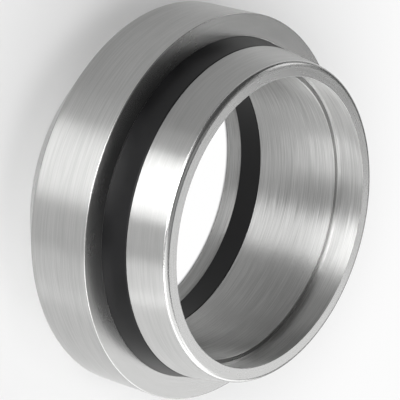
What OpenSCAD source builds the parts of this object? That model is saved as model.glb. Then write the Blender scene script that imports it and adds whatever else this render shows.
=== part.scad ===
// Soft-seal cutting ring for a metric tube fitting with a 24 degree cone.
//
// Three turned pieces share the Z axis. The collar's flat rear face lies on z = 0 and the cutting edge is at
// the top. The cutting ring runs down inside the collar, and the elastomer seal fills the space between them,
// so that it shows both on the nose and in the bore.
//
// Each section is a list of corners [radius, height, rounding], in millimetres, anticlockwise. A rounding above
// zero rounds an outside corner, one below zero fills an inside corner, and zero leaves it sharp.

/* [Tube] */
// Outside diameter of the tube that the ring bites into
tube_d = 16; // [14:0.5:20]
// Play between the tube and the bore, on the diameter
bore_clearance = 0.2; // [0.1:0.05:0.3]

/* [Whole ring] */
// Length from the rear face to the first cutting edge
ring_length = 10.1; // [9.6:0.1:10.8]
// Radial thickness from the bore to the outside of the collar
collar_wall = 2.825; // [2.6:0.025:3.1]
// Length from the rear face to the stop face of the collar
stop_height = 6.225; // [6:0.025:6.6]

/* [Cutting ring] */
// Radial thickness of the nose, measured at the front face before its edge is rounded
nose_wall = 0.825; // [0.75:0.025:0.95]
// Half angle of the cone on the outside of the nose
nose_angle = 10; // [8:0.5:12]
// Rounding of the nose's outer front edge
nose_round = 0.3; // [0.15:0.05:0.35]
// Distance from the first cutting edge to the second
edge_spacing = 2; // [1.6:0.1:2.2]
// Depth of the groove in front of the second cutting edge
groove_depth = 0.44; // [0.3:0.02:0.5]
// Rounding in the bottom of that groove
groove_round = 0.16; // [0.08:0.02:0.2]
// Radial thickness of the tail just behind the shoulder
tail_wall_front = 0.85; // [0.8:0.05:0.9]
// Radial thickness of the tail at its rear end
tail_wall_rear = 0.62; // [0.5:0.02:0.7]
// Chamfer on the tail's outer rear edge
tail_chamfer = 0.2; // [0.1:0.05:0.3]
// Chamfer on the tail's inner rear edge, beside the seal
tail_bore_chamfer = 0.04; // [0.02:0.01:0.08]

/* [Seal] */
// Length of the seal that shows between the stop face and the cutting ring's shoulder
seal_outside_length = 1.475; // [1.2:0.025:1.7]
// Length of the seal that shows in the bore
seal_inside_length = 1.5; // [1.3:0.05:1.8]
// Rounding of the seal's edge beside the shoulder
seal_round = 0.1; // [0.05:0.01:0.12]

/* [Collar] */
// Length of the bore behind the seal, with its chamfer and its lead-in
collar_bore_length = 1.16; // [1:0.02:1.4]
// Chamfer of the bore at the rear face
bore_chamfer = 0.25; // [0.15:0.05:0.35]
// Length of the lead-in at the front of that bore
lead_length = 0.16; // [0.1:0.02:0.2]
// Radial depth of that lead-in
lead_depth = 0.05; // [0.02:0.01:0.06]
// Width of the flat rear face
rear_flat = 0.18; // [0.1:0.02:0.3]
// Half angle of the rear cone that the nut presses on
rear_angle = 45; // [43:1:47]
// Rounding between the rear cone and the outside
rear_round = 0.28; // [0.1:0.02:0.4]
// Rounding of the stop face's outer edge
stop_round = 0.12; // [0.05:0.01:0.2]
// Radial width of the flat seat in the bottom of the collar
seat_width = 0.5; // [0.4:0.05:0.6]
// Radial width of the slope between that seat and the side wall
slope_width = 0.55; // [0.5:0.05:0.6]
// Height of that slope
slope_height = 0.85; // [0.8:0.05:0.9]

/* [Hidden] */
$fn = 180;

// How much larger than its rounding a corner's circle is drawn
graze = 1.005;

bore_r = (tube_d + bore_clearance) / 2;
collar_r = bore_r + collar_wall;
second_edge_height = ring_length - edge_spacing;
shoulder_height = stop_height + seal_outside_length;
tail_height = collar_bore_length + seal_inside_length;

rear_inner_r = bore_r + bore_chamfer;
rear_outer_r = rear_inner_r + rear_flat;
rear_cone_height = (collar_r - rear_outer_r) / tan(rear_angle);

seat_outer_r = bore_r + lead_depth + seat_width;
wall_foot = [seat_outer_r + slope_width, collar_bore_length + slope_height];

// Radius of the nose cone at a height, which the seal's outside follows too
function nose_r(height) = bore_r + nose_wall + (ring_length - height) * tan(nose_angle);

// Corners that two neighbouring pieces share, so that their faces meet with no gap and no overlap
collar_mouth = [nose_r(stop_height), stop_height];
bore_lead = [bore_r + lead_depth, collar_bore_length];
shoulder_root = [bore_r + tail_wall_front, shoulder_height];
tail_edge = [bore_r + tail_wall_rear, tail_height + tail_chamfer];
tail_foot = [tail_edge[0] - tail_chamfer, tail_height];
tail_bore_edge = [bore_r + tail_bore_chamfer, tail_height];

function sharp(corner) = [corner[0], corner[1], 0];
function place(corner) = [corner[0], corner[1]];
function unit(v) = v / norm(v);

// The angle between the two sides at a corner, and where a rounding touches them
function corner_angle(before, at, after) = acos(unit(before - at) * unit(after - at));
function touch(to, at, angle, r) = at + unit(to - at) * r / tan(angle / 2);
function round_centre(before, at, after, angle, r) =
    at + unit(unit(before - at) + unit(after - at)) * r / sin(angle / 2);

// The outline's points at one corner: the corner itself, or the two ends of its rounding
function outline_at(before, at, after, r) =
    r == 0 ? [at] :
    let (angle = corner_angle(before, at, after))
    [touch(before, at, angle, abs(r)), touch(after, at, angle, abs(r))];

// Draws what lies between the arc and its chord, at each corner whose rounding has the wanted sign. The circle is
// a hair larger than its rounding, so that it crosses the two sides and doesn't only graze them.
module roundings(corners, sign) {
    n = len(corners);
    for (i = [0 : n - 1]) {
        r = corners[i][2];
        if (r * sign > 0) {
            before = place(corners[(i + n - 1) % n]);
            at = place(corners[i]);
            after = place(corners[(i + 1) % n]);
            ends = outline_at(before, at, after, r);
            centre = round_centre(before, at, after, corner_angle(before, at, after), abs(r));
            intersection() {
                translate(centre) circle(r = abs(r) * graze);
                polygon([ends[0], at, ends[1]]);
            }
        }
    }
}

// Turns a section about the Z axis
module turned(corners) {
    n = len(corners);
    points = [for (i = [0 : n - 1])
        each outline_at(place(corners[(i + n - 1) % n]), place(corners[i]),
                        place(corners[(i + 1) % n]), corners[i][2])];
    rotate_extrude() difference() {
        union() {
            polygon(points);
            roundings(corners, 1);
        }
        roundings(corners, -1);
    }
}

// Steel ring with two hardened edges: the first on the front face, the second behind the groove
module cutting_ring() {
    color("silver") turned([
        [bore_r, tail_height + tail_bore_chamfer, 0],
        sharp(tail_bore_edge),
        sharp(tail_foot),
        sharp(tail_edge),
        sharp(shoulder_root),
        [nose_r(shoulder_height), shoulder_height, 0],
        [nose_r(ring_length), ring_length, nose_round],
        [bore_r, ring_length, 0],
        [bore_r + groove_depth, second_edge_height, -groove_round],
        [bore_r, second_edge_height, 0]
    ]);
}

// Elastomer ring bonded to both steel rings. Its outside carries on the nose cone and its inside the bore.
module seal_ring() {
    color("dimgray") turned([
        sharp(bore_lead),
        [seat_outer_r, collar_bore_length, 0],
        sharp(wall_foot),
        sharp(collar_mouth),
        [nose_r(shoulder_height), shoulder_height, seal_round],
        sharp(shoulder_root),
        sharp(tail_edge),
        sharp(tail_foot),
        sharp(tail_bore_edge),
        [bore_r, tail_height - tail_bore_chamfer, 0],
        [bore_r, collar_bore_length + lead_depth, 0]
    ]);
}

// Steel collar that the nut pushes on, with the stop face in front and the nut's cone behind
module stop_collar() {
    color("silver") turned([
        [rear_inner_r, 0, 0],
        [rear_outer_r, 0, 0],
        [collar_r, rear_cone_height, rear_round],
        [collar_r, stop_height, stop_round],
        sharp(collar_mouth),
        sharp(wall_foot),
        [seat_outer_r, collar_bore_length, 0],
        sharp(bore_lead),
        [bore_r, collar_bore_length - lead_length, 0],
        [bore_r, bore_chamfer, 0]
    ]);
}

stop_collar();
seal_ring();
cutting_ring();
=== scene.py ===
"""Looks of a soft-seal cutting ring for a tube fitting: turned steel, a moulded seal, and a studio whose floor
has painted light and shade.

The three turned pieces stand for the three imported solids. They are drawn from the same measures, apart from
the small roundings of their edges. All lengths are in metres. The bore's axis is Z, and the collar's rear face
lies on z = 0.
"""

import math

import bmesh
import bpy
from mathutils import Matrix, Vector


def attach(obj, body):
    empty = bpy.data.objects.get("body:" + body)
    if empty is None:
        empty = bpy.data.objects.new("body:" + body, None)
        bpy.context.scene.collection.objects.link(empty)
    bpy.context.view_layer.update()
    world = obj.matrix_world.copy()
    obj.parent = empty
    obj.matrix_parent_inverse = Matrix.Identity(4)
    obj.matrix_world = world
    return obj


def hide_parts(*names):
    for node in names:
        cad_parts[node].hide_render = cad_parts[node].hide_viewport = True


bl_info = {
    "name": "Cutting ring looks",
    "version": (1, 0, 0),
    "blender": (4, 5, 0),
    "location": "View3D > Sidebar > Cutting ring",
    "description": "Makes the turned steel and the seal of a cutting ring, and the studio round it",
    "category": "Object",
}

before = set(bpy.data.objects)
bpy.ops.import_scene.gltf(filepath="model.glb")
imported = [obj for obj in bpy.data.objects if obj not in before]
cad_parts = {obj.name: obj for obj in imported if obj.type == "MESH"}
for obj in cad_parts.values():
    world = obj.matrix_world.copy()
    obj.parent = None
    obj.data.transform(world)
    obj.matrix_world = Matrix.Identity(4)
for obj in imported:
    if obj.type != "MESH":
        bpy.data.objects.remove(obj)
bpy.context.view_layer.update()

MM = 0.001

# Distance from a rounding to the extra loop beside it, which keeps the straight faces shaded as straight
SUPPORT = 0.02 * MM
# Corners that lie closer than this are merged
MERGE = 0.0001 * MM
# Faces that meet at more than this angle meet in a sharp edge, in degrees
SHARP_ANGLE = 24
# How far along the axis a normal points at least, from 0 to 1, on a flat face and on an outer edge
FLAT_FACE = 0.99
OUTER_EDGE = 0.3

FLOOR_RADIUS = 2.0
FLOOR_SIDES = 96
LAMP_DISTANCE = 1.0
# Width of the camera's sensor in millimetres
SENSOR_WIDTH = 36.0


def length(name, description, default):
    """A length property, given in metres."""
    return bpy.props.FloatProperty(
        name=name, description=description, default=default, min=0.0, precision=5,
        subtype="DISTANCE", unit="LENGTH")


def angle(name, description, degrees):
    """An angle property, given in degrees."""
    return bpy.props.FloatProperty(
        name=name, description=description, default=math.radians(degrees), subtype="ANGLE", unit="ROTATION")


def share(name, description, default):
    """A number from 0 to 1."""
    return bpy.props.FloatProperty(name=name, description=description, default=default, min=0.0, max=1.0)


def colour(name, description, default):
    """A colour with no transparency."""
    return bpy.props.FloatVectorProperty(
        name=name, description=description, default=default, min=0.0, max=1.0, size=3, subtype="COLOR")


class RingSizes(bpy.types.PropertyGroup):
    """Measures of the three turned pieces."""

    bore_radius: length("Bore radius", "Radius of the bore that the tube slides in", 8.1 * MM)
    ring_length: length("Length", "From the rear face to the first cutting edge", 10.1 * MM)
    collar_radius: length("Collar radius", "Outside radius of the collar", 10.925 * MM)
    stop_height: length("Stop height", "From the rear face to the stop face", 6.225 * MM)
    nose_wall: length("Nose wall", "Thickness of the nose at its front face", 0.825 * MM)
    nose_angle: angle("Nose angle", "Half angle of the nose cone", 10)
    nose_round: length("Nose rounding", "Rounding of the nose's outer front edge", 0.3 * MM)
    first_edge_round: length("First edge rounding", "Rounding of the first cutting edge", 0.015 * MM)
    second_edge_round: length("Second edge rounding", "Rounding of the second cutting edge", 0.05 * MM)
    shoulder_round: length("Shoulder rounding", "Rounding of the shoulder beside the seal", 0.03 * MM)
    edge_spacing: length("Edge spacing", "From the first cutting edge to the second", 2.0 * MM)
    groove_depth: length("Groove depth", "Depth of the groove in front of the second edge", 0.44 * MM)
    groove_round: length("Groove rounding", "Rounding in the bottom of the groove", 0.16 * MM)
    tail_wall_front: length("Tail wall in front", "Thickness of the tail behind the shoulder", 0.85 * MM)
    tail_wall_rear: length("Tail wall behind", "Thickness of the tail at its end", 0.62 * MM)
    tail_chamfer: length("Tail chamfer", "Chamfer on the tail's outer rear edge", 0.2 * MM)
    tail_bore_chamfer: length("Tail bore chamfer", "Chamfer on the tail's inner rear edge", 0.04 * MM)
    seal_outside: length("Seal outside", "Length of the seal that shows on the nose", 1.475 * MM)
    seal_inside: length("Seal inside", "Length of the seal that shows in the bore", 1.5 * MM)
    seal_round: length("Seal rounding", "Rounding of the seal's edge beside the shoulder", 0.1 * MM)
    collar_bore: length("Collar bore", "Length of the bore behind the seal", 1.16 * MM)
    bore_chamfer: length("Bore chamfer", "Chamfer of the bore at the rear face", 0.25 * MM)
    lead_length: length("Lead-in length", "Length of the lead-in at the front of that bore", 0.16 * MM)
    lead_depth: length("Lead-in depth", "Radial depth of that lead-in", 0.05 * MM)
    rear_flat: length("Rear flat", "Width of the flat rear face", 0.18 * MM)
    rear_angle: angle("Rear angle", "Half angle of the rear cone", 45)
    rear_edge_round: length("Rear edge rounding", "Rounding of the rear face's outer edge", 0.03 * MM)
    fine_round: length("Fine rounding", "Rounding of the collar's other crisp edges", 0.02 * MM)
    rear_round: length("Rear rounding", "Rounding between the rear cone and the outside", 0.28 * MM)
    stop_round: length("Stop rounding", "Rounding of the stop face's outer edge", 0.05 * MM)
    seat_width: length("Seat width", "Width of the flat seat in the bottom of the collar", 0.5 * MM)
    slope_width: length("Slope width", "Width of the slope beside that seat", 0.55 * MM)
    slope_height: length("Slope height", "Height of that slope", 0.85 * MM)
    steps: bpy.props.IntProperty(
        name="Steps", description="Faces round the axis", default=288, min=24, max=720)


class RingFinish(bpy.types.PropertyGroup):
    """Colours and finishes."""

    steel: colour("Steel", "Colour of the plated steel", (0.45, 0.45, 0.445))
    # Painted light: a lighter copy of the steel's colour that brightens the cutting ring's bore
    bore_steel_painted_light: colour("Bore steel", "Colour of the steel in the bore", (0.54, 0.54, 0.534))
    nose_roughness: share("Nose roughness", "Roughness of the cutting ring's outside", 0.35)
    collar_roughness: share("Collar roughness", "Roughness of the collar's outside", 0.33)
    bore_roughness: share("Bore roughness", "Roughness of the steel in the bore", 0.48)
    face_roughness: share("Face roughness", "Roughness of the steel's flat faces", 0.27)
    nose_marks: share("Nose marks", "How far the turning marks lean the cutting ring's outside", 0.09)
    collar_marks: share("Collar marks", "How far they lean the collar's outside", 0.12)
    bore_marks: share("Bore marks", "How far they lean the steel in the bore", 0.2)
    face_marks: share("Face marks", "How far they lean the flat faces", 0.03)
    seal: colour("Seal", "Colour of the elastomer", (0.004, 0.004, 0.0043))
    seal_roughness: share("Seal roughness", "Roughness of the elastomer", 0.36)


class StudioSetup(bpy.types.PropertyGroup):
    """The floor, the lamps and the camera."""

    floor: colour("Floor", "Colour of the floor", (0.74, 0.74, 0.74))
    # Painted shade: beside the ring less of the floor glows white, so the floor and its reflections in the
    # steel are darker there
    white_near_painted_shade: share("White beside the ring", "Share of the floor that looks plain white there", 0.22)
    white_far: share("White far away", "Share of it that is plain white far away", 0.85)
    # Painted light: under the bore the floor glows plain white and shows none of the ring's shadow
    white_bore_painted_light: share("White in the bore", "Share of it that is plain white under the bore", 1.0)
    sky: share("Sky", "Strength of the soft light all round", 0.09)
    lens: bpy.props.FloatProperty(name="Lens", description="Focal length in millimetres", default=207.5)
    view_angle: angle("View angle", "Angle between the bore's axis and the line to the camera", 52.65)
    roll: angle("Roll", "Roll of the camera about its line of sight", 105.82)
    distance: length("Distance", "From the camera to the centre of the front face", 125.0 * MM)
    face_right: length("Face right", "From the picture's middle right to the front face", 4.01 * MM)
    face_down: length("Face down", "From the picture's middle down to the front face", 1.282 * MM)


def settings():
    """The property groups that the operators read."""
    scene = bpy.context.scene
    return scene.ring_sizes, scene.ring_finish, scene.ring_studio


def nose_radius(sizes, height):
    """Radius of the nose cone at a height, which the seal's outside follows too."""
    return sizes.bore_radius + sizes.nose_wall + (sizes.ring_length - height) * math.tan(sizes.nose_angle)


def shared_corners(sizes):
    """Corners that two neighbouring pieces share."""
    seat_edge = sizes.bore_radius + sizes.lead_depth + sizes.seat_width
    shoulder = sizes.stop_height + sizes.seal_outside
    tail = sizes.collar_bore + sizes.seal_inside
    tail_outer = sizes.bore_radius + sizes.tail_wall_rear
    return {
        "shoulder": shoulder,
        "tail": tail,
        "mouth": (nose_radius(sizes, sizes.stop_height), sizes.stop_height),
        "lead": (sizes.bore_radius + sizes.lead_depth, sizes.collar_bore),
        "seat": (seat_edge, sizes.collar_bore),
        "wall_foot": (seat_edge + sizes.slope_width, sizes.collar_bore + sizes.slope_height),
        "shoulder_root": (sizes.bore_radius + sizes.tail_wall_front, shoulder),
        "shoulder_edge": (nose_radius(sizes, shoulder), shoulder),
        "tail_edge": (tail_outer, tail + sizes.tail_chamfer),
        "tail_foot": (tail_outer - sizes.tail_chamfer, tail),
        "tail_bore_edge": (sizes.bore_radius + sizes.tail_bore_chamfer, tail),
    }


def turned(name, corners, steps):
    """A piece turned about the bore's axis.

    Each corner of its section is (radius, height, rounding, faces in the rounding).
    """
    bm = bmesh.new()
    verts = [bm.verts.new((corner[0], 0.0, corner[1])) for corner in corners]
    bm.faces.new(verts)
    count = len(corners)
    for i in range(count):
        rounding = corners[i][2]
        if not rounding:
            continue
        at = verts[i].co.copy()
        before = (Vector((corners[i - 1][0], 0.0, corners[i - 1][1])) - at).normalized()
        after = (Vector((corners[(i + 1) % count][0], 0.0, corners[(i + 1) % count][1])) - at).normalized()
        reach = rounding / math.tan(before.angle(after) / 2)
        bmesh.ops.bevel(bm, geom=[verts[i]], offset=reach, offset_type="OFFSET", segments=corners[i][3],
                        profile=0.5, affect="VERTICES", material=-1)
    bmesh.ops.delete(bm, geom=bm.faces[:], context="FACES_ONLY")
    for edge in [edge for edge in bm.edges if edge.calc_length() > 4 * SUPPORT]:
        first, last = edge.verts
        _, added = bmesh.utils.edge_split(edge, first, SUPPORT / edge.calc_length())
        rest = next(other for other in added.link_edges if last in other.verts)
        bmesh.utils.edge_split(rest, last, SUPPORT / rest.calc_length())
    bmesh.ops.spin(bm, geom=bm.verts[:] + bm.edges[:], cent=(0, 0, 0), axis=(0, 0, 1), dvec=(0, 0, 0),
                   angle=2 * math.pi, steps=steps, use_merge=True)
    bmesh.ops.remove_doubles(bm, verts=bm.verts[:], dist=MERGE)
    bmesh.ops.recalc_face_normals(bm, faces=bm.faces[:])
    mesh = bpy.data.meshes.new(name)
    bm.to_mesh(mesh)
    bm.free()
    for polygon in mesh.polygons:
        polygon.use_smooth = True
    mesh.set_sharp_from_angle(angle=math.radians(SHARP_ANGLE))
    piece = bpy.data.objects.new(name, mesh)
    bpy.context.scene.collection.objects.link(piece)
    return piece


def stand_for(piece, node, slot, *materials):
    """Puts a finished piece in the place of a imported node.

    The materials are those of its outside, of its bore, and of its flat faces with the outer edges, or one
    for all of it.
    """
    for material in materials:
        piece.data.materials.append(material)
    if len(materials) > 1:
        for polygon in piece.data.polygons:
            normal = polygon.normal
            inward = normal.x * polygon.center.x + normal.y * polygon.center.y < 0
            limit = FLAT_FACE if inward else OUTER_EDGE
            polygon.material_index = 2 if abs(normal.z) > limit else int(inward)
    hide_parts(node)
    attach(piece, "root")


class Value:
    """A shader value. Python's operators on it add Math nodes."""

    def __init__(self, nodes, socket):
        self.nodes = nodes
        self.socket = socket

    def math(self, operation, first, second):
        return self.nodes.add("ShaderNodeMath", {"operation": operation}, {0: first, 1: second}).out(0)

    def __add__(self, other):
        return self.math("ADD", self, other)

    def __radd__(self, other):
        return self.math("ADD", other, self)

    def __sub__(self, other):
        return self.math("SUBTRACT", self, other)

    def __rsub__(self, other):
        return self.math("SUBTRACT", other, self)

    def __mul__(self, other):
        return self.math("MULTIPLY", self, other)

    def __rmul__(self, other):
        return self.math("MULTIPLY", other, self)

    def __pow__(self, other):
        return self.math("POWER", self, other)

    def range(self, low, high, to_low=0.0, to_high=1.0):
        """Maps low to high onto another range, smoothly and without passing its ends."""
        return self.nodes.add("ShaderNodeMapRange", {"interpolation_type": "SMOOTHSTEP", "clamp": True},
                              {"Value": self, "From Min": low, "From Max": high,
                               "To Min": to_low, "To Max": to_high}).out("Result")


class Added:
    """A node that was added, whose outputs are read by name or number."""

    def __init__(self, nodes, node):
        self.nodes = nodes
        self.node = node

    def out(self, key):
        return Value(self.nodes, self.node.outputs[key])


class Nodes:
    """The node tree of a material or a world."""

    def __init__(self, owner):
        owner.use_nodes = True
        self.tree = owner.node_tree
        self.tree.nodes.clear()

    def add(self, kind, settings=None, sockets=None):
        """Adds a node. Settings come first, then the values or links of its sockets."""
        node = self.tree.nodes.new(kind)
        for key, value in (settings or {}).items():
            setattr(node, key, value)
        for key, value in (sockets or {}).items():
            if isinstance(value, Value):
                self.tree.links.new(value.socket, node.inputs[key])
            else:
                node.inputs[key].default_value = value
        return Added(self, node)


def turned_steel(name, seed, base, rough, turning, stretch):
    """Plated steel with the short marks that turning and polishing leave round the axis.

    Turning is how far the marks lean and tint the surface. Stretch is how far they draw out a reflection.
    """
    material = bpy.data.materials.new(name)
    nodes = Nodes(material)
    place = nodes.add("ShaderNodeTexCoord").out("Object")
    split = nodes.add("ShaderNodeSeparateXYZ", None, {0: place})
    x, y, z = split.out(0), split.out(1), split.out(2)
    radius = (x * x + y * y) ** 0.5

    def marks(along, across, detail, offset):
        """Noise drawn out round the axis: features per metre along the marks and across them."""
        stretched = nodes.add("ShaderNodeCombineXYZ", None, {
            0: x * along + (seed + offset), 1: y * along, 2: z * across}).out(0)
        return nodes.add("ShaderNodeTexNoise", {"noise_dimensions": "4D"}, {
            "Vector": stretched, "W": radius * across, "Scale": 1.0, "Detail": detail,
            "Roughness": 0.6}).out(0)

    def vector(operation, first, second=None, scale=None):
        sockets = {0: first}
        if second is not None:
            sockets[1] = second
        if scale is not None:
            sockets["Scale"] = scale
        return nodes.add("ShaderNodeVectorMath", {"operation": operation}, sockets).out(0)

    facing = nodes.add("ShaderNodeNewGeometry").out("Normal")
    fine = marks(350, 20000, 2.0, 0.0)
    broad = marks(350, 5000, 2.0, 7.0)
    ridges = marks(500, 14000, 1.0, 13.0)
    lean = ((fine - 0.5) + (broad - 0.5) * 0.3) * turning
    ridge = (ridges - 0.5) * turning
    along = vector("NORMALIZE", vector("CROSS_PRODUCT", (0.0, 0.0, 1.0), place))
    across = vector("CROSS_PRODUCT", facing, along)
    leant = vector("ADD", facing, vector("SCALE", along, scale=lean))
    normal = vector("NORMALIZE", vector("ADD", leant, vector("SCALE", across, scale=ridge)))
    cloud = nodes.add("ShaderNodeTexNoise", None, {"Vector": place, "Scale": 260.0, "Detail": 4.0}).out(0)
    roughness = rough + (broad - 0.5) * (turning * 0.4) + (cloud - 0.5) * 0.03
    tint = nodes.add("ShaderNodeMix", {"data_type": "RGBA"}, {
        0: (fine * 0.85 + cloud * 0.15).range(0.34, 0.66),
        6: (*[c * (1.0 - turning) for c in base], 1.0),
        7: (*[c * (1.0 + turning * 0.5) for c in base], 1.0)}).out(2)
    # A quarter turn draws the reflections out along the axis, across the marks
    bsdf = nodes.add("ShaderNodeBsdfPrincipled", None, {
        "Base Color": tint, "Metallic": 1.0, "Roughness": roughness, "Anisotropic": stretch,
        "Anisotropic Rotation": 0.25, "Normal": normal})
    nodes.add("ShaderNodeOutputMaterial", None, {"Surface": bsdf.out(0)})
    return material


def moulded_rubber(name, finish):
    """Satin elastomer with a fine grain."""
    material = bpy.data.materials.new(name)
    nodes = Nodes(material)
    place = nodes.add("ShaderNodeTexCoord").out("Object")
    grain = nodes.add("ShaderNodeTexNoise", None, {"Vector": place, "Scale": 9000.0, "Detail": 2.0}).out(0)
    cloud = nodes.add("ShaderNodeTexNoise", None, {"Vector": place, "Scale": 500.0, "Detail": 3.0}).out(0)
    normal = nodes.add("ShaderNodeBump", None, {
        "Strength": 0.1, "Distance": 0.008 * MM, "Height": grain + cloud * 2.0}).out(0)
    tint = nodes.add("ShaderNodeMix", {"data_type": "RGBA"}, {
        0: cloud.range(0.3, 0.7), 6: (*finish.seal, 1.0), 7: (*[c * 1.6 for c in finish.seal], 1.0)}).out(2)
    bsdf = nodes.add("ShaderNodeBsdfPrincipled", None, {
        "Base Color": tint, "Roughness": cloud * 0.1 + (finish.seal_roughness - 0.05),
        "Specular IOR Level": 0.18, "Normal": normal})
    nodes.add("ShaderNodeOutputMaterial", None, {"Surface": bsdf.out(0)})
    return material


class MakeCuttingRing(bpy.types.Operator):
    """Turn the steel ring with the two cutting edges"""

    bl_idname = "cutting_ring.make_ring"
    bl_label = "Cutting ring"

    def execute(self, context):
        sizes, finish, _ = settings()
        at = shared_corners(sizes)
        edge = sizes.ring_length - sizes.edge_spacing
        corners = [
            (sizes.bore_radius, at["tail"] + sizes.tail_bore_chamfer, 0, 0),
            (*at["tail_bore_edge"], 0, 0),
            (*at["tail_foot"], 0, 0),
            (*at["tail_edge"], 0, 0),
            (*at["shoulder_root"], 0, 0),
            (*at["shoulder_edge"], sizes.shoulder_round, 3),
            (nose_radius(sizes, sizes.ring_length), sizes.ring_length, sizes.nose_round, 10),
            (sizes.bore_radius, sizes.ring_length, sizes.first_edge_round, 2),
            (sizes.bore_radius + sizes.groove_depth, edge, sizes.groove_round, 8),
            (sizes.bore_radius, edge, sizes.second_edge_round, 3),
        ]
        piece = turned("cutting_ring_turned", corners, sizes.steps)
        stand_for(piece, "cutting_ring", "cutting_steel",
                  turned_steel("cutting_steel_outside", 3.0, finish.steel,
                               finish.nose_roughness, finish.nose_marks, 1.0),
                  # The bore takes the lighter copy of the steel's colour, which is painted light in the bore
                  turned_steel("cutting_steel_bore", 4.0, finish.bore_steel_painted_light,
                               finish.bore_roughness, finish.bore_marks, 1.0),
                  turned_steel("cutting_steel_faces", 5.0, finish.steel,
                               finish.face_roughness, finish.face_marks, 0.0))
        return {"FINISHED"}


class MakeSeal(bpy.types.Operator):
    """Mould the seal between the two steel rings"""

    bl_idname = "cutting_ring.make_seal"
    bl_label = "Seal"

    def execute(self, context):
        sizes, finish, _ = settings()
        at = shared_corners(sizes)
        corners = [
            (*at["lead"], 0, 0),
            (*at["seat"], 0, 0),
            (*at["wall_foot"], 0, 0),
            (*at["mouth"], 0, 0),
            (*at["shoulder_edge"], sizes.seal_round, 5),
            (*at["shoulder_root"], 0, 0),
            (*at["tail_edge"], 0, 0),
            (*at["tail_foot"], 0, 0),
            (*at["tail_bore_edge"], 0, 0),
            (sizes.bore_radius, at["tail"] - sizes.tail_bore_chamfer, 0, 0),
            (sizes.bore_radius, sizes.collar_bore + sizes.lead_depth, 0, 0),
        ]
        piece = turned("seal_moulded", corners, sizes.steps)
        stand_for(piece, "seal_ring", "elastomer", moulded_rubber("elastomer", finish))
        return {"FINISHED"}


class MakeCollar(bpy.types.Operator):
    """Turn the steel collar with the stop face and the rear cone"""

    bl_idname = "cutting_ring.make_collar"
    bl_label = "Stop collar"

    def execute(self, context):
        sizes, finish, _ = settings()
        at = shared_corners(sizes)
        rear_inner = sizes.bore_radius + sizes.bore_chamfer
        rear_outer = rear_inner + sizes.rear_flat
        cone = (sizes.collar_radius - rear_outer) / math.tan(sizes.rear_angle)
        corners = [
            (rear_inner, 0, sizes.fine_round, 2),
            (rear_outer, 0, sizes.rear_edge_round, 3),
            (sizes.collar_radius, cone, sizes.rear_round, 8),
            (sizes.collar_radius, sizes.stop_height, sizes.stop_round, 4),
            (*at["mouth"], sizes.fine_round, 2),
            (*at["wall_foot"], 0, 0),
            (*at["seat"], 0, 0),
            (*at["lead"], 0, 0),
            (sizes.bore_radius, sizes.collar_bore - sizes.lead_length, 0, 0),
            (sizes.bore_radius, sizes.bore_chamfer, sizes.fine_round, 2),
        ]
        piece = turned("stop_collar_turned", corners, sizes.steps)
        stand_for(piece, "stop_collar", "collar_steel",
                  turned_steel("collar_steel_outside", 11.0, finish.steel,
                               finish.collar_roughness, finish.collar_marks, 1.0),
                  turned_steel("collar_steel_bore", 12.0, finish.steel,
                               finish.bore_roughness, finish.bore_marks, 1.0),
                  turned_steel("collar_steel_faces", 13.0, finish.steel,
                               finish.face_roughness, finish.face_marks, 0.0))
        return {"FINISHED"}


LAMPS = [
    # name, azimuth and elevation in degrees, width and height in metres, brightness
    ("side_lamp", 268, 44, 1.9, 0.9, 1.6),
    ("low_side_lamp", 290, 12, 2.0, 0.44, 2.4),
    ("corner_lamp", 240, 18, 0.5, 0.25, 5.5),
    ("front_lamp", 178, 8, 0.75, 0.24, 8.6),
    ("front_wide", 179, 8, 1.5, 0.24, 1.9),
    ("front_high", 178, 31, 0.52, 0.22, 14.5),
    ("top_lamp", 0, 89, 0.7, 0.7, 0.45),
    ("back_lamp", 337, 37, 0.8, 0.4, 1.6),
    ("rim_lamp", 48, 27, 0.4, 0.35, 1.9),
    ("rim_fill", 28, 41, 0.45, 0.4, 0.7),
]


def lamp(name, azimuth, elevation, width, height, brightness):
    """A soft lamp that points at the ring.

    The azimuth is 0 along +Y and 90 along -X. A lamp of brightness 1 looks white itself.
    """
    turn, lift = math.radians(azimuth), math.radians(elevation)
    towards = Vector((-math.sin(turn) * math.cos(lift), math.cos(turn) * math.cos(lift), math.sin(lift)))
    data = bpy.data.lights.new(name, "AREA")
    data.shape = "RECTANGLE"
    data.size = width
    data.size_y = height
    data.energy = brightness * math.pi * width * height
    light = bpy.data.objects.new(name, data)
    light.location = towards * LAMP_DISTANCE
    light.rotation_euler = towards.to_track_quat("Z", "Y").to_euler()
    bpy.context.scene.collection.objects.link(light)


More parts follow.
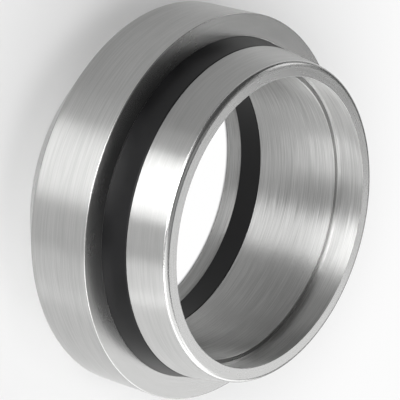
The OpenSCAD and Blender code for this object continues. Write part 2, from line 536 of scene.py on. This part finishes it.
class MakeStudio(bpy.types.Operator):
    """Set the floor, the lamps, the sky and the camera"""

    bl_idname = "cutting_ring.make_studio"
    bl_label = "Studio"

    def execute(self, context):
        sizes, _, studio = settings()
        context.scene.view_settings.view_transform = "Standard"
        self.lay_floor(sizes, studio)
        self.set_sky(studio)
        for row in LAMPS:
            lamp(*row)
        self.place_camera(sizes, studio)
        return {"FINISHED"}

    def lay_floor(self, sizes, studio):
        """A pale floor that glows plain white far from the ring, with painted light under the bore, where the
        ring's shadow falls, and painted shade beside the ring, where less of it glows.
        """
        bm = bmesh.new()
        bmesh.ops.create_circle(bm, cap_ends=True, segments=FLOOR_SIDES, radius=FLOOR_RADIUS)
        mesh = bpy.data.meshes.new("floor")
        bm.to_mesh(mesh)
        bm.free()
        floor = bpy.data.objects.new("floor", mesh)
        bpy.context.scene.collection.objects.link(floor)
        material = bpy.data.materials.new("floor")
        nodes = Nodes(material)
        place = nodes.add("ShaderNodeSeparateXYZ", None, {0: nodes.add("ShaderNodeTexCoord").out("Object")})
        radius = (place.out(0) * place.out(0) + place.out(1) * place.out(1)) ** 0.5
        bore, foot = sizes.bore_radius, sizes.bore_radius + sizes.bore_chamfer
        near_start, near_end = sizes.collar_radius - 1.0 * MM, sizes.collar_radius + 1.5 * MM
        far = 30 * MM
        # Share of the floor that glows white: painted light under the bore, painted shade beside the ring, an
        # even white far away
        white_glow_painted_light_shade = (radius.range(bore, foot, studio.white_bore_painted_light, 0.0)
                       + radius.range(near_start, near_end, 0.0, studio.white_near_painted_shade)
                       + radius.range(near_end, far, 0.0, studio.white_far - studio.white_near_painted_shade))
        ray = nodes.add("ShaderNodeLightPath")
        seen = ray.out("Is Camera Ray") + ray.out("Is Glossy Ray") + ray.out("Is Transmission Ray")
        matt = nodes.add("ShaderNodeBsdfDiffuse", None, {"Color": (*studio.floor, 1.0)})
        white = nodes.add("ShaderNodeEmission", None, {"Color": (1.0, 1.0, 1.0, 1.0), "Strength": 1.0})
        both = nodes.add("ShaderNodeMixShader", None, {
            0: seen * white_glow_painted_light_shade, 1: matt.out(0), 2: white.out(0)})
        nodes.add("ShaderNodeOutputMaterial", None, {"Surface": both.out(0)})
        mesh.materials.append(material)

    def set_sky(self, studio):
        world = bpy.data.worlds.new("studio")
        bpy.context.scene.world = world
        nodes = Nodes(world)
        background = nodes.add("ShaderNodeBackground", None, {
            "Color": (1.0, 1.0, 1.0, 1.0), "Strength": studio.sky})
        nodes.add("ShaderNodeOutputWorld", None, {"Surface": background.out(0)})

    def place_camera(self, sizes, studio):
        data = bpy.data.cameras.new("camera")
        data.lens = studio.lens
        data.sensor_width = SENSOR_WIDTH
        camera = bpy.data.objects.new("camera", data)
        bpy.context.scene.collection.objects.link(camera)
        tilt = studio.view_angle
        back = Vector((0, -math.sin(tilt), math.cos(tilt)))
        level_x = Vector((1, 0, 0))
        level_y = Vector((0, math.cos(tilt), math.sin(tilt)))
        turn = studio.roll
        right = math.cos(turn) * level_x + math.sin(turn) * level_y
        up = -math.sin(turn) * level_x + math.cos(turn) * level_y
        face_centre = Vector((0, 0, sizes.ring_length))
        place = face_centre - right * studio.face_right + up * studio.face_down + back * studio.distance
        camera.matrix_world = Matrix((
            (right.x, up.x, back.x, place.x),
            (right.y, up.y, back.y, place.y),
            (right.z, up.z, back.z, place.z),
            (0, 0, 0, 1)))
        bpy.context.scene.camera = camera


OPERATORS = (MakeCuttingRing, MakeSeal, MakeCollar, MakeStudio)


class RingPanel(bpy.types.Panel):
    """Lists the pieces and the studio."""

    bl_idname = "VIEW3D_PT_cutting_ring"
    bl_label = "Cutting ring"
    bl_space_type = "VIEW_3D"
    bl_region_type = "UI"
    bl_category = "Cutting ring"

    def draw(self, context):
        for group in settings():
            for name in group.bl_rna.properties.keys():
                if name not in ("rna_type", "name"):
                    self.layout.prop(group, name)
        for operator in OPERATORS:
            self.layout.operator(operator.bl_idname)


CLASSES = (RingSizes, RingFinish, StudioSetup, *OPERATORS, RingPanel)


def register():
    for cls in CLASSES:
        bpy.utils.register_class(cls)
    bpy.types.Scene.ring_sizes = bpy.props.PointerProperty(type=RingSizes)
    bpy.types.Scene.ring_finish = bpy.props.PointerProperty(type=RingFinish)
    bpy.types.Scene.ring_studio = bpy.props.PointerProperty(type=StudioSetup)


def unregister():
    del bpy.types.Scene.ring_studio
    del bpy.types.Scene.ring_finish
    del bpy.types.Scene.ring_sizes
    for cls in reversed(CLASSES):
        bpy.utils.unregister_class(cls)


def main():
    register()
    bpy.ops.cutting_ring.make_ring()
    bpy.ops.cutting_ring.make_seal()
    bpy.ops.cutting_ring.make_collar()
    bpy.ops.cutting_ring.make_studio()


if __name__ == "__main__":
    main()
